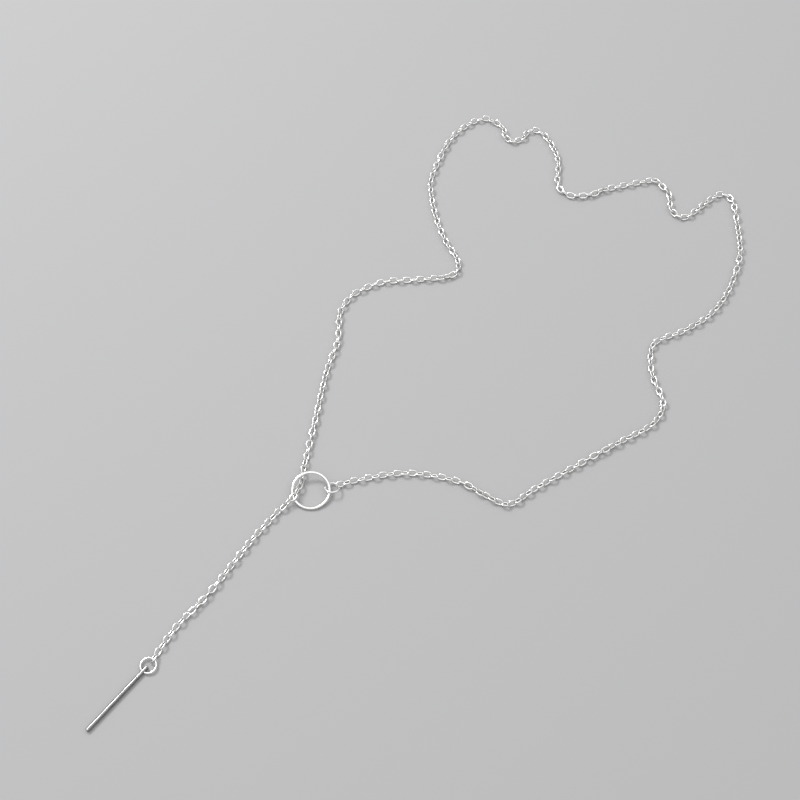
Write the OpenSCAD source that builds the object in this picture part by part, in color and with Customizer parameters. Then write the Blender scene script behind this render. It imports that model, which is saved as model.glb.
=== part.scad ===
/* [Chain] */
// Length of a link over its outside
link_length = 3.15; // [3.14:0.01:3.2]
// Width of a link over its outside
link_width = 2.3; // [2.2:0.05:2.5]
// Thickness of a link's wire, which is pressed square
link_wire = 0.36; // [0.32:0.01:0.36]
// How far a flat link may hang below the upright links beside it
link_sag = 0.1; // [0:0.02:0.1]
// Diameter of the plain strand that stands for the short chain between bar and ring
strand_d = 2; // [1.6:0.1:2.2]

/* [Ring] */
// Outside diameter of the ring that the drop chain is drawn through
ring_d = 11.8; // [11.6:0.1:12]
// Thickness of the ring's round wire
ring_wire = 0.9; // [0.8:0.05:0.95]
// Tilt of the ring, whose far side lies on the chain
ring_tilt = 12; // [11.5:0.5:13]
// Outside diameter of the jump ring that holds the chain's end on the ring
end_ring_d = 4.7; // [4.6:0.1:4.8]
// Thickness of that jump ring's wire
end_ring_wire = 0.5; // [0.45:0.05:0.5]

/* [Bar] */
// Length of the bar
bar_length = 23.5; // [20:0.5:26]
// Diameter of the bar
bar_d = 1.2; // [1.2:0.05:1.3]
// Distance from the bar's top end to its cross hole
bar_hole_from_end = 1.8; // [1.6:0.1:3]
// Diameter of the cross hole
bar_hole_d = 0.85; // [0.84:0.01:0.9]
// Outside diameter of the jump ring that goes through the bar
bar_ring_d = 5; // [4.9:0.05:5.1]
// Thickness of that jump ring's wire
bar_ring_wire = 0.6; // [0.5:0.05:0.6]

/* [Hidden] */

// The chain's way on the surface, from the bar up to the ring, round the neck and back
// Columns: x, y
ROUTE = [
    [-81.5, -88.5], [-74.8, -77.2], [-67, -68], [-55.5, -51], [-50, -44], [-47.9, -41.4],
    [-43.5, -37.1], [-42.4, -34.7], [-41.4, -31.5], [-41, -27.5], [-39.5, -19], [-37.8, -9.5],
    [-35, 6.5], [-32, 16.5], [-31.6, 22.5], [-31.3, 28], [-29.5, 32], [-26.5, 35.5],
    [-18.5, 39.5], [-8.5, 40.5], [1.5, 41.5], [5.3, 43.8], [5.5, 48.5], [2, 55.5],
    [-1, 65], [-2.5, 75], [-2, 82.5], [3.5, 96.5], [9.5, 103.5], [15, 106.5],
    [18.5, 105.5], [22, 102.4], [22.3, 99.2], [24.2, 97], [27.7, 97.6], [31, 101.5],
    [35.5, 99.5], [39.5, 89.5], [39, 78.6], [42.5, 74.1], [49.5, 74.3], [55, 76.7],
    [70, 80.2], [72.5, 78.5], [75, 74.5], [75.3, 68], [78.4, 65.2], [81.5, 66.5],
    [89, 73], [93, 74.5], [95.5, 71], [96, 62], [95.5, 50], [90.5, 36.5],
    [84, 27.5], [75.5, 21.5], [67.5, 18], [64.5, 14.5], [64, 5.5], [66.5, -4.5],
    [64.5, -10], [60.6, -13.7], [53, -18], [37.6, -27.2], [26.5, -34], [19, -39],
    [12, -36], [4.5, -31.5], [-6.5, -29], [-15, -29], [-25, -31], [-29.5, -32.3],
    [-33, -34]
];

// Where the links lie
// Columns: number of the link, its distance along the route
PLACES = [
    [0, 2.3], [25, 55.7], [27, 59.9], [28, 61.8], [29, 64], [30, 66.2],
    [31, 68.3], [32, 70.4], [33, 72.5], [34, 74.4], [55, 118.6], [63, 135.6],
    [79, 169.7], [82, 175.5], [115, 245.8], [119, 254.2], [121, 258], [123, 261.9],
    [133, 282.3], [139, 295.2], [142, 301.6], [151, 319.8], [155, 328.6], [166, 349.7],
    [178, 373], [188, 393.7], [229, 480.5], [246, 516.4], [257, 538.6], [272, 571.2],
    [273, 573.2]
];

// How the links are rolled about the chain's line
// Columns: number of the link, roll of the even links there, with odd ones a quarter turn on
ROLLS = [
    [0, 135], [6, 135], [9, 180], [14, 225], [24, 230], [27, 242], [28, 261], [29, 274],
    [30, 260], [31, 253], [32, 225], [33, 222], [34, 226], [36, 222], [40, 170], [43, 155],
    [50, 145], [54, 115], [58, 110], [61, 130], [76, 140], [79, 180], [82, 220], [100, 230],
    [103, 210], [106, 150], [108, 140], [121, 150], [128, 140], [136, 160], [140, 195],
    [142, 210], [146, 200], [149, 140], [154, 145], [160, 225], [175, 230], [177, 200],
    [182, 235], [186, 230], [189, 180], [192, 215], [208, 220], [230, 215], [233, 175],
    [237, 135], [252, 120], [254, 90], [257, 40], [271, 40], [272, 35], [273, 45]
];

// How much higher than on the bare surface the chain lies, over the rim and at its end
// Columns: number of the link, height added
LIFTS = [
    [27, 0], [28, 0.6], [29, 1], [30, 0.8], [31, 0.45], [32, 0.05], [33, 0], [271, 0], [272, 0.05],
    [273, 0.2]
];

first_neck_link = 29;
last_link = 273;
strand_start = 3.2;
strand_end = 62.2;
strand_step = 5;
strand_sides = 8;

ring_place = [-38.6, -34.8];
end_ring_place = [-32.4, -33.9, 1.55];
end_ring_tilt = 22;
end_ring_split_at = 45;
bar_heading = 51;
bar_ring_place = [-81.7, -88.6];
bar_ring_tilt = 4;
bar_ring_split_at = -65;
split_angle = 3;
bar_edge = 0.15;
wire_sides = 48;
ring_sides = 96;
bar_sides = 64;

// Smooth line through the route's points
steps = 8;
function route_point(k) =
    k < 0 ? 2 * ROUTE[0] - ROUTE[1] :
    k >= len(ROUTE) ? 2 * ROUTE[k - 1] - ROUTE[k - 2] : ROUTE[k];
function between(a, b, c, d, t) =
    (2 * b + (c - a) * t + (2 * a - 5 * b + 4 * c - d) * t * t + (3 * b - a - 3 * c + d) * t * t * t) / 2;
line = [
    for (k = [0 : len(ROUTE) - 2], j = [0 : steps - 1])
        between(route_point(k - 1), route_point(k), route_point(k + 1), route_point(k + 2), j / steps),
    ROUTE[len(ROUTE) - 1]
];

// Distance along that line at each of its points
function step_to(k) = k < len(line) ? norm(line[k] - line[k - 1]) : 0;
run = [for (k = 0, d = 0; k < len(line); k = k + 1, d = d + step_to(k)) d];
across = [for (k = [0 : len(line) - 1]) [run[k], line[k][0]]];
along = [for (k = [0 : len(line) - 1]) [run[k], line[k][1]]];
function place(d) = [lookup(d, across), lookup(d, along)];

// A link rests on its edges, or hangs a little below its neighbours
function roll(i) = lookup(i, ROLLS) + (i % 2) * 90;
function rest_height(i) =
    let (up = abs(sin(roll(i))), flat = abs(cos(roll(i))))
        (link_width - link_wire) / 2 * up + link_wire / 2 * (up + flat);
function height(i) =
    max(rest_height(i), (rest_height(i - 1) + rest_height(i + 1)) / 2 - link_sag) + lookup(i, LIFTS);
function link_centre(i) = concat(place(lookup(i, PLACES)), height(i));

// Strand of the drop chain, at the height of its links' middle
strand_count = round((strand_end - strand_start) / strand_step);
function strand_d_at(k) = strand_start + (strand_end - strand_start) * k / strand_count;
function strand_link(k) = (strand_d_at(k) - PLACES[0][1]) * PLACES[1][0] / (PLACES[1][1] - PLACES[0][1]);
function strand_point(k) = concat(place(strand_d_at(k)), strand_d / 2 + lookup(strand_link(k), LIFTS));
function strand_heading(k) =
    let (v = place(strand_d_at(k) + 1) - place(strand_d_at(k) - 1)) atan2(v[1], v[0]);
strand_corners = [
    for (k = [0 : strand_count], j = [0 : strand_sides - 1])
        let (
            a = 360 * (j + 0.5) / strand_sides,
            h = strand_heading(k),
            r = strand_d / 2 / cos(180 / strand_sides)
        )
            strand_point(k) + r * [-sin(h) * cos(a), cos(h) * cos(a), sin(a)]
];
strand_walls = [
    for (k = [0 : strand_count - 1], j = [0 : strand_sides - 1])
        let (a = k * strand_sides + j, b = k * strand_sides + (j + 1) % strand_sides)
            [a, a + strand_sides, b + strand_sides, b]
];
strand_near = [for (j = [0 : strand_sides - 1]) j];
strand_far = [for (j = [strand_sides - 1 : -1 : 0]) strand_count * strand_sides + j];

// Outline of a link, which is a slot with round ends
module slot(l, w) {
    for (side = [-1, 1]) translate([side * (l - w) / 2, 0]) circle(d = w, $fn = wire_sides);
    square([l - w, w], center = true);
}

module link() {
    linear_extrude(link_wire, center = true)
        difference() {
            slot(link_length, link_width);
            slot(link_length - 2 * link_wire, link_width - 2 * link_wire);
        }
}

// A link lies in line with the middles of the links before and after it
module placed_link(i) {
    v = link_centre(i + 1) - link_centre(i - 1);
    translate(link_centre(i))
        rotate([roll(i), -atan2(v[2], norm([v[0], v[1]])), atan2(v[1], v[0])])
            link();
}

// Ring of round wire in the plane of X and Y, open by an angle after its start
module wire_ring(d, wire, open = 0) {
    rotate([0, 0, open / 2])
        rotate_extrude(angle = 360 - open, $fn = ring_sides)
            translate([(d - wire) / 2, 0]) circle(d = wire, $fn = wire_sides);
}

module neck_chain() {
    color("silver")
        for (i = [first_neck_link : last_link]) placed_link(i);
}

module drop_chain() {
    color("silver")
        polyhedron(strand_corners, concat(strand_walls, [strand_near, strand_far]));
}

module ring() {
    radius = (ring_d - ring_wire) / 2;
    color("gainsboro")
        translate([ring_place[0], ring_place[1], ring_wire / 2 + radius * sin(ring_tilt)])
            rotate([ring_tilt, 0, 0]) wire_ring(ring_d, ring_wire);
}

module ring_jump_ring() {
    color("silver")
        translate(end_ring_place) rotate([-end_ring_tilt, 0, 0])
            rotate([0, 0, end_ring_split_at]) wire_ring(end_ring_d, end_ring_wire, split_angle);
}

module bar_jump_ring() {
    radius = (bar_ring_d - bar_ring_wire) / 2;
    color("silver")
        translate([bar_ring_place[0], bar_ring_place[1], bar_d / 2 + radius * sin(bar_ring_tilt)])
            rotate([0, -bar_ring_tilt, bar_heading])
                rotate([0, 0, bar_ring_split_at]) wire_ring(bar_ring_d, bar_ring_wire, split_angle);
}

// Half profile of the bar, with its ends eased
module bar_profile() {
    r = bar_d / 2;
    polygon([
        [0, 0], [r - bar_edge, 0], [r, bar_edge], [r, bar_length - bar_edge],
        [r - bar_edge, bar_length], [0, bar_length]
    ]);
}

module bar() {
    radius = (bar_ring_d - bar_ring_wire) / 2 * cos(bar_ring_tilt);
    color("gainsboro")
        translate([bar_ring_place[0], bar_ring_place[1], bar_d / 2]) rotate([0, 0, bar_heading])
            translate([bar_hole_from_end - radius, 0, 0])
                difference() {
                    rotate([0, -90, 0]) rotate_extrude($fn = bar_sides) bar_profile();
                    translate([-bar_hole_from_end, 0, 0]) rotate([90, 0, 0])
                        cylinder(d = bar_hole_d, h = 2 * bar_d, center = true, $fn = wire_sides);
                }
}

neck_chain();
drop_chain();
ring();
ring_jump_ring();
bar_jump_ring();
bar();
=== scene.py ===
import math

import bmesh
import bpy
import numpy as np
from mathutils import Euler, Matrix, Vector


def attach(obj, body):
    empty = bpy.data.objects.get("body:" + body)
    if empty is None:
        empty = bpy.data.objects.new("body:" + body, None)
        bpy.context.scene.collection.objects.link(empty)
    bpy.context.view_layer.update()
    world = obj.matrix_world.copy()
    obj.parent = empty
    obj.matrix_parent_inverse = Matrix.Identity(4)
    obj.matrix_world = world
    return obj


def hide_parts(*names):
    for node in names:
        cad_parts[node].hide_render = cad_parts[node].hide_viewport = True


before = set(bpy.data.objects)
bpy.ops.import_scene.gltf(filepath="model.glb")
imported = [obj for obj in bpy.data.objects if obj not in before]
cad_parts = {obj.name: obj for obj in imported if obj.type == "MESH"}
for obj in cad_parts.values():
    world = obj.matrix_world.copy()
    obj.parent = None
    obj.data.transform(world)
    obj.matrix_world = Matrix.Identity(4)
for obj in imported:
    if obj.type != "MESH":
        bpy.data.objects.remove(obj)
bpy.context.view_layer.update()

MM = 0.001
TURN = 2 * math.pi

# The four tables are those of the CAD source, so each link lies where its CAD link does

# The chain's way on the surface, from the bar up to the ring, round the neck and back
# Columns: x, y, in millimetres
ROUTE = [
    (-81.5, -88.5), (-74.8, -77.2), (-67, -68), (-55.5, -51), (-50, -44), (-47.9, -41.4),
    (-43.5, -37.1), (-42.4, -34.7), (-41.4, -31.5), (-41, -27.5), (-39.5, -19), (-37.8, -9.5),
    (-35, 6.5), (-32, 16.5), (-31.6, 22.5), (-31.3, 28), (-29.5, 32), (-26.5, 35.5),
    (-18.5, 39.5), (-8.5, 40.5), (1.5, 41.5), (5.3, 43.8), (5.5, 48.5), (2, 55.5),
    (-1, 65), (-2.5, 75), (-2, 82.5), (3.5, 96.5), (9.5, 103.5), (15, 106.5),
    (18.5, 105.5), (22, 102.4), (22.3, 99.2), (24.2, 97), (27.7, 97.6), (31, 101.5),
    (35.5, 99.5), (39.5, 89.5), (39, 78.6), (42.5, 74.1), (49.5, 74.3), (55, 76.7),
    (70, 80.2), (72.5, 78.5), (75, 74.5), (75.3, 68), (78.4, 65.2), (81.5, 66.5),
    (89, 73), (93, 74.5), (95.5, 71), (96, 62), (95.5, 50), (90.5, 36.5),
    (84, 27.5), (75.5, 21.5), (67.5, 18), (64.5, 14.5), (64, 5.5), (66.5, -4.5),
    (64.5, -10), (60.6, -13.7), (53, -18), (37.6, -27.2), (26.5, -34), (19, -39),
    (12, -36), (4.5, -31.5), (-6.5, -29), (-15, -29), (-25, -31), (-29.5, -32.3),
    (-33, -34),
]
ROUTE_STEPS = 8

# Where the links lie: number of the link, its distance along the route in millimetres
PLACES = [
    (0, 2.3), (25, 55.7), (27, 59.9), (28, 61.8), (29, 64), (30, 66.2),
    (31, 68.3), (32, 70.4), (33, 72.5), (34, 74.4), (55, 118.6), (63, 135.6),
    (79, 169.7), (82, 175.5), (115, 245.8), (119, 254.2), (121, 258), (123, 261.9),
    (133, 282.3), (139, 295.2), (142, 301.6), (151, 319.8), (155, 328.6), (166, 349.7),
    (178, 373), (188, 393.7), (229, 480.5), (246, 516.4), (257, 538.6), (272, 571.2),
    (273, 573.2),
]

# Roll of the even links about the chain's line in degrees, with odd ones a quarter turn on
ROLLS = [
    (0, 135), (6, 135), (9, 180), (14, 225), (24, 230), (27, 242), (28, 261), (29, 274),
    (30, 260), (31, 253), (32, 225), (33, 222), (34, 226), (36, 222), (40, 170), (43, 155),
    (50, 145), (54, 115), (58, 110), (61, 130), (76, 140), (79, 180), (82, 220), (100, 230),
    (103, 210), (106, 150), (108, 140), (121, 150), (128, 140), (136, 160), (140, 195), (142, 210),
    (146, 200), (149, 140), (154, 145), (160, 225), (175, 230), (177, 200), (182, 235),
    (186, 230), (189, 180), (192, 215), (208, 220), (230, 215), (233, 175), (237, 135),
    (252, 120), (254, 90), (257, 40), (271, 40), (272, 35), (273, 45),
]

# How much higher than on the bare surface the chain lies, in millimetres
LIFTS = [
    (27, 0), (28, 0.6), (29, 1), (30, 0.8), (31, 0.45), (32, 0.05), (33, 0), (271, 0), (272, 0.05),
    (273, 0.2),
]

FIRST_NECK_LINK = 29
LAST_LINK = 273
LINK_LENGTH = 3.14 * MM
LINK_WIDTH = 2.3 * MM
LINK_SQUARENESS = 0.45
LINK_WIRE = 0.46 * MM
LINK_SIDE_WIRE = 0.68 * MM
LINK_SIDE_THICKNESS = 0.38 * MM
LINK_SAG = 0.1 * MM
LINK_SIDES = 16
LINK_WIRE_SIDES = 6
LINK_JITTER = math.radians(1.5)
# How far from a link's middle its pressed wire has become round, as a share of its length
LINK_PRESS_REACH = 0.34
NECK_CHAIN_SEED = 5
DROP_CHAIN_SEED = 8

RING_D = 11.8 * MM
RING_WIRE = 0.9 * MM
RING_TILT = math.radians(12)
RING_PLACE = (-38.6 * MM, -34.8 * MM)
END_RING_D = 4.7 * MM
END_RING_WIRE = 0.5 * MM
END_RING_TILT = math.radians(22)
END_RING_PLACE = (-32.4 * MM, -33.9 * MM, 1.55 * MM)
END_RING_SPLIT_AT = math.radians(45)

BAR_LENGTH = 23.5 * MM
BAR_D = 1.2 * MM
BAR_HEADING = math.radians(51)
BAR_HOLE_FROM_END = 1.8 * MM
BAR_HOLE_D = 0.85 * MM
BAR_EDGE = 0.12 * MM
BAR_RING_D = 5 * MM
BAR_RING_WIRE = 0.6 * MM
BAR_RING_TILT = math.radians(4)
BAR_RING_PLACE = (-81.7 * MM, -88.6 * MM)
BAR_RING_SPLIT_AT = math.radians(-65)
JUMP_RING_GAP = math.radians(3)
JUMP_RING_SPRING = 0.06 * MM

# How finely the round pieces are made: points round a ring, sides of its wire
RING_SIDES = (144, 20)
JUMP_RING_SIDES = (96, 16)
BAR_SIDES = 64
BAR_HOLE_SIDES = 40
BAR_ROUNDING = 0.04 * MM

# Edges that turn by more than this stay sharp, or are rounded on the bar
WIRE_SHARP_ANGLE = math.radians(50)
BAR_SHARP_ANGLE = math.radians(32)
BAR_ROUNDED_ANGLE = math.radians(50)

# Points nearer than this are one point
SAME_POINT = 1e-7
SAME_POINT_ON_BAR = 1e-6

# The camera stands where the photograph was taken from
CAMERA_ELEVATION = math.radians(59)
CAMERA_DISTANCE = 0.489
CAMERA_LOOKS_AT = (-12.65 * MM, -3.2 * MM, 0)
CAMERA_NEAREST = 0.01
SENSOR_WIDTH_IN_MM = 36
PICTURE_WIDTH_IN_PIXELS = 800
FOCAL_LENGTH_IN_PIXELS = 1620

# Plated metal: its clouds of tarnish and its marks, with the part of each noise that shows
CLOUD_SIZE = 2.4 * MM
CLOUD_NOISE = (0.42, 0.72)
MARK_NOISE = (0.35, 0.7)
# Share of a link's tarnish that is its own, and the roughness that full tarnish adds
OWN_SHADE_SHARE = 0.4
TARNISH_ROUGHNESS = 0.05
# Drawn lines: their width as a share of the marks' size, and the relief of lines and marks
LINE_WIDTH_SHARE = 0.25
MARK_RELIEF_SHARE = 0.5
BUMP_STRENGTH = 0.12
BUMP_DEPTH = 0.02 * MM

# Studio, in metres and watts
FLOOR_HALF_WIDTH = 1.5
FLOOR_BELOW_ZERO = 0.03 * MM
FLOOR_COLOUR = (0.36, 0.36, 0.365, 1)
FLOOR_ROUGHNESS = 0.8
FLOOR_SPECULAR = 0.2
KEY_LIGHT_PLACE = (-0.5, 0.46, 0.8)
KEY_LIGHT_SIZE = (0.4, 0.3)
KEY_LIGHT_POWER = 7.0
DOME_AT_HORIZON = 0.2
DOME_OVERHEAD = 1.3
DOME_GRADES_OVER = (0.15, 0.8)


def put_in_scene(thing):
    bpy.context.scene.collection.objects.link(thing)


# Camera

def add_camera():
    data = bpy.data.cameras.new("camera")
    data.sensor_width = SENSOR_WIDTH_IN_MM
    data.lens = SENSOR_WIDTH_IN_MM * FOCAL_LENGTH_IN_PIXELS / PICTURE_WIDTH_IN_PIXELS
    data.clip_start = CAMERA_NEAREST
    camera = bpy.data.objects.new("camera", data)
    back = Vector((0, -math.cos(CAMERA_ELEVATION), math.sin(CAMERA_ELEVATION)))
    camera.location = Vector(CAMERA_LOOKS_AT) + back * CAMERA_DISTANCE
    camera.rotation_euler = (math.pi / 2 - CAMERA_ELEVATION, 0, 0)
    put_in_scene(camera)
    bpy.context.scene.camera = camera


add_camera()


# Helpers for node trees

def add_node(tree, kind, **values):
    """A node, with its properties set by name."""
    node = tree.nodes.new(kind)
    for name, value in values.items():
        setattr(node, name, value)
    return node


def feed(tree, socket, value):
    """Sets a socket, or links another socket to it."""
    if isinstance(value, bpy.types.NodeSocket):
        tree.links.new(value, socket)
    else:
        socket.default_value = value


def maths(tree, operation, *values):
    """One step of arithmetic on numbers or sockets."""
    node = add_node(tree, "ShaderNodeMath", operation=operation)
    for socket, value in zip(node.inputs, values):
        feed(tree, socket, value)
    return node.outputs[0]


def new_shape_tree(name, sizes, counts):
    """An empty Geometry Nodes tree with named inputs for its sizes, counts and metal."""
    tree = bpy.data.node_groups.new(name, "GeometryNodeTree")
    tree.interface.new_socket("Geometry", in_out="INPUT", socket_type="NodeSocketGeometry")
    tree.interface.new_socket("Geometry", in_out="OUTPUT", socket_type="NodeSocketGeometry")
    for label in sizes:
        tree.interface.new_socket(label, in_out="INPUT", socket_type="NodeSocketFloat")
    for label in counts:
        tree.interface.new_socket(label, in_out="INPUT", socket_type="NodeSocketInt")
    tree.interface.new_socket("Metal", in_out="INPUT", socket_type="NodeSocketMaterial")
    given = tree.nodes.new("NodeGroupInput").outputs
    made = tree.nodes.new("NodeGroupOutput").inputs
    return tree, given, made


def finished_mesh(source):
    """The object's mesh with its modifiers run."""
    bpy.context.view_layer.update()
    seen = source.evaluated_get(bpy.context.evaluated_depsgraph_get())
    return bpy.data.meshes.new_from_object(seen)


def grow(name, carrier, tree, values):
    """Runs a tree on a carrier mesh and returns the result as a plain mesh object."""
    source = bpy.data.objects.new(name + "_source", carrier)
    put_in_scene(source)
    modifier = source.modifiers.new("shape", "NODES")
    modifier.node_group = tree
    for item in tree.interface.items_tree:
        if item.in_out == "INPUT" and item.name in values:
            modifier[item.identifier] = values[item.name]
    mesh = finished_mesh(source)
    bpy.data.objects.remove(source)
    bpy.data.meshes.remove(carrier)
    mesh.name = name
    piece = bpy.data.objects.new(name, mesh)
    put_in_scene(piece)
    return piece


def single_point(name):
    mesh = bpy.data.meshes.new(name)
    mesh.from_pydata([(0, 0, 0)], [], [])
    return mesh


# The chain's way

def smooth_line(points, steps):
    """A smooth line, in metres, through points that are given in millimetres."""
    ends = [2 * points[0] - points[1], *points, 2 * points[-1] - points[-2]]
    line = []
    for a, b, c, d in zip(ends, ends[1:], ends[2:], ends[3:]):
        for t in np.arange(steps) / steps:
            line.append((2 * b + (c - a) * t + (2 * a - 5 * b + 4 * c - d) * t**2
                         + (3 * b - a - 3 * c + d) * t**3) / 2)
    return np.array([*line, points[-1]]) * MM


LINE = smooth_line(np.array(ROUTE, float), ROUTE_STEPS)
RUN = np.r_[0, np.cumsum(np.hypot(*np.diff(LINE, axis=0).T))]


def look_up(number, table):
    """Value of a two-column table at that number, between its rows in proportion."""
    return float(np.interp(number, *np.array(table, float).T))


def roll_of(i):
    return math.radians(look_up(i, ROLLS) + (i % 2) * 90)


def rest_height(i):
    """Height of a link's middle when it leans on the surface."""
    roll = roll_of(i)
    return (LINK_WIDTH * abs(math.sin(roll)) + LINK_SIDE_THICKNESS * abs(math.cos(roll))) / 2


def link_middle(i):
    run = look_up(i, PLACES) * MM
    between = (rest_height(i - 1) + rest_height(i + 1)) / 2 - LINK_SAG
    height = max(rest_height(i), between) + look_up(i, LIFTS) * MM
    return Vector((np.interp(run, RUN, LINE[:, 0]), np.interp(run, RUN, LINE[:, 1]), height))


def link_carrier(name, first, last):
    """A point for each link, with the way that it is turned."""
    middles = {i: link_middle(i) for i in range(first - 1, last + 2)}
    mesh = bpy.data.meshes.new(name)
    mesh.from_pydata([middles[i] for i in range(first, last + 1)], [], [])
    turns = mesh.attributes.new("turn", "FLOAT_VECTOR", "POINT")
    for k, i in enumerate(range(first, last + 1)):
        way = middles[i + 1] - middles[i - 1]
        climb = math.atan2(way.z, math.hypot(way.x, way.y))
        turns.data[k].vector = (roll_of(i), -climb, math.atan2(way.y, way.x))
    return mesh


# Shapes

def chain_tree():
    """Oval links, flattened at their long sides, one on each point of the carrier."""
    tree, given, made = new_shape_tree(
        "chain of oval links",
        ("Link length", "Link width", "Squareness", "Wire", "Side wire", "Side thickness",
         "Roll jitter"),
        ("Sides of the link", "Sides of the wire", "Seed"))
    middle_length = maths(tree, "SUBTRACT", given["Link length"], given["Wire"])
    middle_width = maths(tree, "SUBTRACT", given["Link width"], given["Side wire"])

    # A circle drawn out to an oval: squareness 0 makes an ellipse, 1 two straight sides
    circle = add_node(tree, "GeometryNodeMeshCircle")
    feed(tree, circle.inputs["Vertices"], given["Sides of the link"])
    feed(tree, circle.inputs["Radius"], 0.5)
    half_side = add_node(tree, "ShaderNodeCombineXYZ")
    feed(tree, half_side.inputs["Z"], maths(tree, "DIVIDE", math.pi, given["Sides of the link"]))
    turned_circle = add_node(tree, "GeometryNodeTransform")
    feed(tree, turned_circle.inputs["Geometry"], circle.outputs["Mesh"])
    feed(tree, turned_circle.inputs["Rotation"], half_side.outputs[0])
    place = add_node(tree, "ShaderNodeSeparateXYZ")
    feed(tree, place.inputs[0], add_node(tree, "GeometryNodeInputPosition").outputs[0])
    straight = maths(tree, "MULTIPLY", given["Squareness"],
                     maths(tree, "SUBTRACT", middle_length, middle_width))
    drawn = add_node(tree, "ShaderNodeCombineXYZ")
    feed(tree, drawn.inputs["X"], maths(
        tree, "ADD",
        maths(tree, "MULTIPLY", place.outputs["X"],
              maths(tree, "SUBTRACT", middle_length, straight)),
        maths(tree, "MULTIPLY", maths(tree, "SIGN", place.outputs["X"]),
              maths(tree, "MULTIPLY", straight, 0.5))))
    feed(tree, drawn.inputs["Y"], maths(tree, "MULTIPLY", place.outputs["Y"], middle_width))
    oval = add_node(tree, "GeometryNodeSetPosition")
    feed(tree, oval.inputs["Geometry"], turned_circle.outputs[0])
    feed(tree, oval.inputs["Position"], drawn.outputs[0])
    path = add_node(tree, "GeometryNodeMeshToCurve")
    feed(tree, path.inputs[0], oval.outputs[0])

    # 0 at the long sides of a link, 1 at its ends
    end = add_node(tree, "ShaderNodeMapRange", interpolation_type="SMOOTHSTEP")
    feed(tree, end.inputs["Value"], maths(tree, "ABSOLUTE", place.outputs["X"]))
    feed(tree, end.inputs["From Max"],
         maths(tree, "MULTIPLY", middle_length, LINK_PRESS_REACH))

    def from_side_to_end(side, tip):
        mix = add_node(tree, "ShaderNodeMix", data_type="FLOAT")
        feed(tree, mix.inputs["Factor"], end.outputs["Result"])
        feed(tree, mix.inputs["A"], side)
        feed(tree, mix.inputs["B"], tip)
        return mix.outputs["Result"]

    section = add_node(tree, "GeometryNodeCurvePrimitiveCircle")
    feed(tree, section.inputs["Resolution"], given["Sides of the wire"])
    feed(tree, section.inputs["Radius"], maths(tree, "MULTIPLY", given["Wire"], 0.5))
    round_link = add_node(tree, "GeometryNodeCurveToMesh")
    feed(tree, round_link.inputs["Curve"], path.outputs[0])
    feed(tree, round_link.inputs["Profile Curve"], section.outputs["Curve"])
    feed(tree, round_link.inputs["Scale"],
         from_side_to_end(maths(tree, "DIVIDE", given["Side wire"], given["Wire"]), 1.0))

    flatness = from_side_to_end(
        maths(tree, "DIVIDE", given["Side thickness"], given["Side wire"]), 1.0)
    pressed = add_node(tree, "ShaderNodeCombineXYZ")
    feed(tree, pressed.inputs["X"], place.outputs["X"])
    feed(tree, pressed.inputs["Y"], place.outputs["Y"])
    feed(tree, pressed.inputs["Z"], maths(tree, "MULTIPLY", place.outputs["Z"], flatness))
    link = add_node(tree, "GeometryNodeSetPosition")
    feed(tree, link.inputs["Geometry"], round_link.outputs[0])
    feed(tree, link.inputs["Position"], pressed.outputs[0])

    turns = add_node(tree, "GeometryNodeInputNamedAttribute", data_type="FLOAT_VECTOR")
    feed(tree, turns.inputs["Name"], "turn")
    jitter = add_node(tree, "FunctionNodeRandomValue", data_type="FLOAT")
    feed(tree, jitter.inputs[2], maths(tree, "MULTIPLY", given["Roll jitter"], -1.0))
    feed(tree, jitter.inputs[3], given["Roll jitter"])
    feed(tree, jitter.inputs["Seed"], given["Seed"])
    nudge = add_node(tree, "ShaderNodeCombineXYZ")
    feed(tree, nudge.inputs["X"], jitter.outputs[1])
    total = add_node(tree, "ShaderNodeVectorMath", operation="ADD")
    feed(tree, total.inputs[0], turns.outputs["Attribute"])
    feed(tree, total.inputs[1], nudge.outputs[0])
    rotation = add_node(tree, "FunctionNodeEulerToRotation")
    feed(tree, rotation.inputs[0], total.outputs[0])

    links = add_node(tree, "GeometryNodeInstanceOnPoints")
    feed(tree, links.inputs["Points"], given["Geometry"])
    feed(tree, links.inputs["Instance"], link.outputs[0])
    feed(tree, links.inputs["Rotation"], rotation.outputs[0])

    shade = add_node(tree, "FunctionNodeRandomValue", data_type="FLOAT")
    feed(tree, shade.inputs["Seed"], maths(tree, "ADD", given["Seed"], 1.0))
    shaded = add_node(tree, "GeometryNodeStoreNamedAttribute", data_type="FLOAT",
                      domain="INSTANCE")
    feed(tree, shaded.inputs["Geometry"], links.outputs[0])
    feed(tree, shaded.inputs["Name"], "link_shade")
    feed(tree, shaded.inputs["Value"], shade.outputs[1])

    realized = add_node(tree, "GeometryNodeRealizeInstances")
    feed(tree, realized.inputs[0], shaded.outputs[0])
    smooth = add_node(tree, "GeometryNodeSetShadeSmooth")
    feed(tree, smooth.inputs[0], realized.outputs[0])
    finished = add_node(tree, "GeometryNodeSetMaterial")
    feed(tree, finished.inputs["Geometry"], smooth.outputs[0])
    feed(tree, finished.inputs["Material"], given["Metal"])
    feed(tree, made["Geometry"], finished.outputs[0])
    return tree


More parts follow.
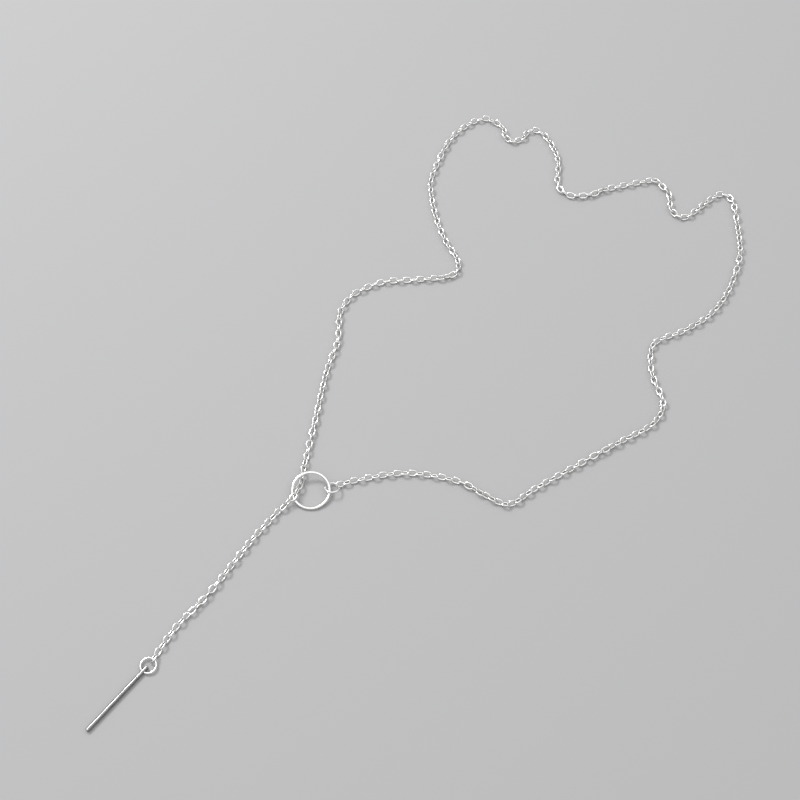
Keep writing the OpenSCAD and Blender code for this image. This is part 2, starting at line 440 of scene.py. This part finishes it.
def wire_ring_tree():
    """A ring of round wire in the plane of X and Y, closed, or cut and sprung a little."""
    tree, given, made = new_shape_tree(
        "ring of round wire",
        ("Diameter", "Wire", "Opening", "Spring"),
        ("Points round the ring", "Sides of the wire"))
    radius = maths(tree, "MULTIPLY",
                   maths(tree, "SUBTRACT", given["Diameter"], given["Wire"]), 0.5)

    arc = add_node(tree, "GeometryNodeCurveArc", mode="RADIUS")
    feed(tree, arc.inputs["Resolution"], given["Points round the ring"])
    feed(tree, arc.inputs["Radius"], radius)
    feed(tree, arc.inputs["Start Angle"], maths(tree, "MULTIPLY", given["Opening"], 0.5))
    feed(tree, arc.inputs["Sweep Angle"], maths(tree, "SUBTRACT", TURN, given["Opening"]))
    circle = add_node(tree, "GeometryNodeCurvePrimitiveCircle")
    feed(tree, circle.inputs["Resolution"], given["Points round the ring"])
    feed(tree, circle.inputs["Radius"], radius)
    is_cut = maths(tree, "GREATER_THAN", given["Opening"], 0.0)
    path = add_node(tree, "GeometryNodeSwitch", input_type="GEOMETRY")
    feed(tree, path.inputs["Switch"], is_cut)
    feed(tree, path.inputs["False"], circle.outputs["Curve"])
    feed(tree, path.inputs["True"], arc.outputs["Curve"])

    along = add_node(tree, "GeometryNodeSplineParameter").outputs["Factor"]
    rise = add_node(tree, "ShaderNodeCombineXYZ")
    feed(tree, rise.inputs["Z"],
         maths(tree, "MULTIPLY", maths(tree, "SUBTRACT", along, 0.5), given["Spring"]))
    sprung = add_node(tree, "GeometryNodeSetPosition")
    feed(tree, sprung.inputs["Geometry"], path.outputs[0])
    feed(tree, sprung.inputs["Offset"], rise.outputs[0])

    section = add_node(tree, "GeometryNodeCurvePrimitiveCircle")
    feed(tree, section.inputs["Resolution"], given["Sides of the wire"])
    feed(tree, section.inputs["Radius"], maths(tree, "MULTIPLY", given["Wire"], 0.5))
    wire = add_node(tree, "GeometryNodeCurveToMesh")
    feed(tree, wire.inputs["Curve"], sprung.outputs[0])
    feed(tree, wire.inputs["Profile Curve"], section.outputs["Curve"])
    feed(tree, wire.inputs["Fill Caps"], True)
    finished = add_node(tree, "GeometryNodeSetMaterial")
    feed(tree, finished.inputs["Geometry"], wire.outputs[0])
    feed(tree, finished.inputs["Material"], given["Metal"])
    feed(tree, made["Geometry"], finished.outputs[0])
    return tree


def face_outwards(mesh, nearer_than=SAME_POINT):
    """Merges points that lie nearer than that and turns every shell's faces outwards."""
    shape = bmesh.new()
    shape.from_mesh(mesh)
    bmesh.ops.remove_doubles(shape, verts=shape.verts, dist=nearer_than)
    bmesh.ops.recalc_face_normals(shape, faces=shape.faces)
    shape.to_mesh(mesh)
    shape.free()


def smooth_but_for_edges(mesh, angle):
    """Shades a mesh smooth, with its sharp edges kept."""
    mesh.shade_smooth()
    mesh.set_sharp_from_angle(angle=angle)


def stand_for(piece, node):
    """Has the piece take the place of the CAD node of that name."""
    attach(piece, "root")
    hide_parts(node)


# Finishes

def new_finish(name):
    material = bpy.data.materials.new(name)
    material.use_nodes = True
    return material, material.node_tree, material.node_tree.nodes["Principled BSDF"]


def grain(tree, where, size, detail=3.0, stretch=(1, 1, 1), heading=0.0):
    """Noise whose grains are about that size, stretched along the piece's own line."""
    mapping = add_node(tree, "ShaderNodeMapping", vector_type="TEXTURE")
    feed(tree, mapping.inputs["Vector"], where)
    feed(tree, mapping.inputs["Rotation"], (0, 0, heading))
    feed(tree, mapping.inputs["Scale"], tuple(size * s for s in stretch))
    noise = add_node(tree, "ShaderNodeTexNoise", noise_dimensions="3D")
    feed(tree, noise.inputs["Vector"], mapping.outputs[0])
    feed(tree, noise.inputs["Scale"], 1.0)
    feed(tree, noise.inputs["Detail"], detail)
    return noise.outputs["Fac"]


def spread(tree, value, low, high, out_low, out_high):
    """Stretches the values from low to high over those from out_low to out_high."""
    node = add_node(tree, "ShaderNodeMapRange", clamp=True)
    for socket, number in zip(node.inputs, (value, low, high, out_low, out_high)):
        feed(tree, socket, number)
    return node.outputs[0]


def silver(name, bright, dull, roughness, mark_size, heading=0.0, drawn=1.0, by_link=False):
    """Plated silver with faint clouds of tarnish, handling marks and fine drawn lines."""
    material, tree, shader = new_finish(name)
    where = add_node(tree, "ShaderNodeTexCoord").outputs["Object"]
    clouds = grain(tree, where, CLOUD_SIZE)
    marks = grain(tree, where, mark_size, detail=5.0)
    lines = grain(tree, where, mark_size, detail=2.0,
                  stretch=(drawn, LINE_WIDTH_SHARE, LINE_WIDTH_SHARE), heading=heading)

    tarnish = spread(tree, clouds, *CLOUD_NOISE, 0.0, 1.0)
    if by_link:
        own = add_node(tree, "ShaderNodeAttribute", attribute_name="link_shade").outputs["Fac"]
        tarnish = maths(tree, "ADD", maths(tree, "MULTIPLY", tarnish, 1 - OWN_SHADE_SHARE),
                        maths(tree, "MULTIPLY", own, OWN_SHADE_SHARE))
    colour = add_node(tree, "ShaderNodeMix", data_type="RGBA")
    feed(tree, colour.inputs["Factor"], tarnish)
    feed(tree, colour.inputs["A"], (*bright, 1))
    feed(tree, colour.inputs["B"], (*dull, 1))
    feed(tree, shader.inputs["Base Color"], colour.outputs["Result"])

    shine = maths(tree, "ADD", spread(tree, marks, *MARK_NOISE, *roughness),
                  maths(tree, "MULTIPLY", tarnish, TARNISH_ROUGHNESS))
    feed(tree, shader.inputs["Roughness"], shine)
    shader.inputs["Metallic"].default_value = 1.0

    bump = add_node(tree, "ShaderNodeBump")
    feed(tree, bump.inputs["Height"],
         maths(tree, "ADD", lines, maths(tree, "MULTIPLY", marks, MARK_RELIEF_SHARE)))
    feed(tree, bump.inputs["Strength"], BUMP_STRENGTH)
    feed(tree, bump.inputs["Distance"], BUMP_DEPTH)
    feed(tree, shader.inputs["Normal"], bump.outputs[0])
    return material


# Bright colour, tarnished colour, lowest and highest roughness, size of the marks
CHAIN_SILVER = silver("chain_silver", (0.93, 0.93, 0.92), (0.78, 0.77, 0.75), (0.10, 0.24),
                      0.35 * MM, by_link=True)
RING_SILVER = silver("ring_silver", (0.94, 0.94, 0.93), (0.82, 0.81, 0.79), (0.08, 0.20),
                     0.4 * MM)
JUMP_RING_SILVER = silver("jump_ring_silver", (0.93, 0.93, 0.92), (0.80, 0.79, 0.77),
                          (0.10, 0.24), 0.35 * MM)
# The bar's colour is far darker than plated silver. Part of that is its own darker metal; the rest
# is painted dark reflection, standing in for dark surroundings that the pale studio here does not
# have.
BAR_SILVER_WITH_PAINTED_DARK_REFLECTION = silver("bar_silver_painted_dark_reflection", (0.28, 0.28, 0.285), (0.21, 0.21, 0.21), (0.08, 0.14),
                    0.3 * MM, heading=BAR_HEADING, drawn=12.0)


# Chain

CHAIN_TREE = chain_tree()


def lay_chain(name, node, first, last, seed):
    piece = grow(name, link_carrier(name, first, last), CHAIN_TREE, {
        "Link length": LINK_LENGTH, "Link width": LINK_WIDTH,
        "Squareness": LINK_SQUARENESS, "Wire": LINK_WIRE,
        "Side wire": LINK_SIDE_WIRE, "Side thickness": LINK_SIDE_THICKNESS,
        "Roll jitter": LINK_JITTER, "Sides of the link": LINK_SIDES,
        "Sides of the wire": LINK_WIRE_SIDES, "Seed": seed, "Metal": CHAIN_SILVER})
    face_outwards(piece.data)
    piece.data.shade_smooth()
    stand_for(piece, node)


lay_chain("neck_chain_links", "neck_chain", FIRST_NECK_LINK, LAST_LINK, NECK_CHAIN_SEED)
lay_chain("drop_chain_links", "drop_chain", 0, FIRST_NECK_LINK - 1, DROP_CHAIN_SEED)


# Ring and jump rings

RING_TREE = wire_ring_tree()


def bend_ring(name, node, metal, diameter, wire, opening, spring, sides, placed):
    piece = grow(name, single_point(name), RING_TREE, {
        "Diameter": diameter, "Wire": wire, "Opening": opening, "Spring": spring,
        "Points round the ring": sides[0], "Sides of the wire": sides[1], "Metal": metal})
    piece.data.transform(placed)
    face_outwards(piece.data)
    smooth_but_for_edges(piece.data, WIRE_SHARP_ANGLE)
    stand_for(piece, node)


def turned(x=0.0, y=0.0, z=0.0):
    """A turn about X, then Y, then Z."""
    return Euler((x, y, z)).to_matrix().to_4x4()


def add_ring():
    rise = (RING_D - RING_WIRE) / 2 * math.sin(RING_TILT)
    placed = Matrix.Translation((*RING_PLACE, RING_WIRE / 2 + rise)) @ turned(x=RING_TILT)
    bend_ring("ring_wire", "ring", RING_SILVER, RING_D, RING_WIRE, 0.0, 0.0,
              RING_SIDES, placed)


def add_ring_jump_ring():
    placed = (Matrix.Translation(END_RING_PLACE) @ turned(x=-END_RING_TILT)
              @ turned(z=END_RING_SPLIT_AT))
    bend_ring("ring_jump_ring_wire", "ring_jump_ring", JUMP_RING_SILVER,
              END_RING_D, END_RING_WIRE, JUMP_RING_GAP, JUMP_RING_SPRING, JUMP_RING_SIDES, placed)


def add_bar_jump_ring():
    rise = (BAR_RING_D - BAR_RING_WIRE) / 2 * math.sin(BAR_RING_TILT)
    placed = (Matrix.Translation((*BAR_RING_PLACE, BAR_D / 2 + rise))
              @ turned(y=-BAR_RING_TILT, z=BAR_HEADING) @ turned(z=BAR_RING_SPLIT_AT))
    bend_ring("bar_jump_ring_wire", "bar_jump_ring", JUMP_RING_SILVER,
              BAR_RING_D, BAR_RING_WIRE, JUMP_RING_GAP, JUMP_RING_SPRING, JUMP_RING_SIDES, placed)


add_ring()
add_ring_jump_ring()
add_bar_jump_ring()


# Bar

def turned_rod(name, length, radius, edge, rows, sides):
    """A rod from the origin along -X, with its ends eased and rows of points on it."""
    ease = edge * 0.3
    profile = [(0, 0), (radius - edge, 0), (radius - ease, ease), (radius, edge),
               *((radius, along) for along in rows),
               (radius, length - edge), (radius - ease, length - ease),
               (radius - edge, length), (0, length)]
    shape = bmesh.new()
    points = [shape.verts.new((-along, out, 0)) for out, along in profile]
    line = [shape.edges.new(pair) for pair in zip(points, points[1:])]
    bmesh.ops.spin(shape, geom=points + line, cent=(0, 0, 0), axis=(1, 0, 0),
                   angle=TURN, steps=sides, use_duplicate=False)
    mesh = bpy.data.meshes.new(name)
    shape.to_mesh(mesh)
    shape.free()
    face_outwards(mesh)
    return bpy.data.objects.new(name, mesh)


def hole_cutter(at, diameter, reach):
    """A round peg across the rod, at that distance from its end."""
    shape = bmesh.new()
    bmesh.ops.create_cone(shape, cap_ends=True, segments=BAR_HOLE_SIDES, radius1=diameter / 2,
                          radius2=diameter / 2, depth=reach,
                          matrix=Matrix.Translation((-at, 0, 0)) @ turned(x=math.pi / 2))
    mesh = bpy.data.meshes.new("hole_cutter")
    shape.to_mesh(mesh)
    shape.free()
    return bpy.data.objects.new("hole_cutter", mesh)


def add_bar():
    past_edge = 1.5 * BAR_EDGE
    rows = (past_edge, BAR_HOLE_FROM_END - BAR_HOLE_D, BAR_HOLE_FROM_END + BAR_HOLE_D,
            BAR_HOLE_FROM_END + 1.5 * BAR_HOLE_D, BAR_LENGTH - past_edge)
    rod = turned_rod("bar_rod", BAR_LENGTH, BAR_D / 2, BAR_EDGE, rows, BAR_SIDES)
    cutter = hole_cutter(BAR_HOLE_FROM_END, BAR_HOLE_D, 2 * BAR_D)
    for part in (rod, cutter):
        put_in_scene(part)
    drilled = rod.modifiers.new("hole", "BOOLEAN")
    drilled.operation = "DIFFERENCE"
    drilled.solver = "EXACT"
    drilled.object = cutter
    eased = rod.modifiers.new("edges", "BEVEL")
    eased.width = BAR_ROUNDING
    eased.segments = 2
    eased.limit_method = "ANGLE"
    eased.angle_limit = BAR_ROUNDED_ANGLE
    mesh = finished_mesh(rod)
    for part in (rod, cutter):
        bpy.data.objects.remove(part)

    ring_reach = (BAR_RING_D - BAR_RING_WIRE) / 2 * math.cos(BAR_RING_TILT)
    top = Matrix.Translation((BAR_HOLE_FROM_END - ring_reach, 0, 0))
    mesh.transform(Matrix.Translation((*BAR_RING_PLACE, BAR_D / 2)) @ turned(z=BAR_HEADING) @ top)
    face_outwards(mesh, SAME_POINT_ON_BAR)
    smooth_but_for_edges(mesh, BAR_SHARP_ANGLE)
    mesh.materials.clear()
    mesh.materials.append(BAR_SILVER_WITH_PAINTED_DARK_REFLECTION)
    piece = bpy.data.objects.new("bar_rod_drilled", mesh)
    put_in_scene(piece)
    stand_for(piece, "bar")


add_bar()


# Floor and light

def add_floor():
    half = FLOOR_HALF_WIDTH
    corners = ((-half, -half), (half, -half), (half, half), (-half, half))
    mesh = bpy.data.meshes.new("floor")
    mesh.from_pydata([(x, y, -FLOOR_BELOW_ZERO) for x, y in corners], [], [(0, 1, 2, 3)])
    material, _, shader = new_finish("pale_floor")
    shader.inputs["Base Color"].default_value = FLOOR_COLOUR
    shader.inputs["Roughness"].default_value = FLOOR_ROUGHNESS
    shader.inputs["Specular IOR Level"].default_value = FLOOR_SPECULAR
    mesh.materials.append(material)
    floor = bpy.data.objects.new("floor", mesh)
    put_in_scene(floor)


def add_softbox(name, place, size, watts):
    """A lamp with a soft white face that is turned towards the origin."""
    data = bpy.data.lights.new(name, "AREA")
    data.shape = "RECTANGLE"
    data.size, data.size_y = size
    data.energy = watts
    lamp = bpy.data.objects.new(name, data)
    lamp.location = place
    towards = -Vector(place)
    lamp.rotation_euler = towards.to_track_quat("-Z", "Y").to_euler()
    put_in_scene(lamp)


def add_dome(horizon, top):
    """A plain white dome that is brighter overhead than at the horizon."""
    world = bpy.data.worlds.new("studio")
    world.use_nodes = True
    tree = world.node_tree
    direction = add_node(tree, "ShaderNodeSeparateXYZ")
    feed(tree, direction.inputs[0], add_node(tree, "ShaderNodeTexCoord").outputs["Generated"])
    background = tree.nodes["Background"]
    background.inputs["Color"].default_value = (1, 1, 1, 1)
    feed(tree, background.inputs["Strength"],
         spread(tree, direction.outputs["Z"], *DOME_GRADES_OVER, horizon, top))
    bpy.context.scene.world = world


add_floor()
add_softbox("key_light", KEY_LIGHT_PLACE, KEY_LIGHT_SIZE, KEY_LIGHT_POWER)
add_dome(DOME_AT_HORIZON, DOME_OVERHEAD)
bpy.context.scene.view_settings.view_transform = "Standard"
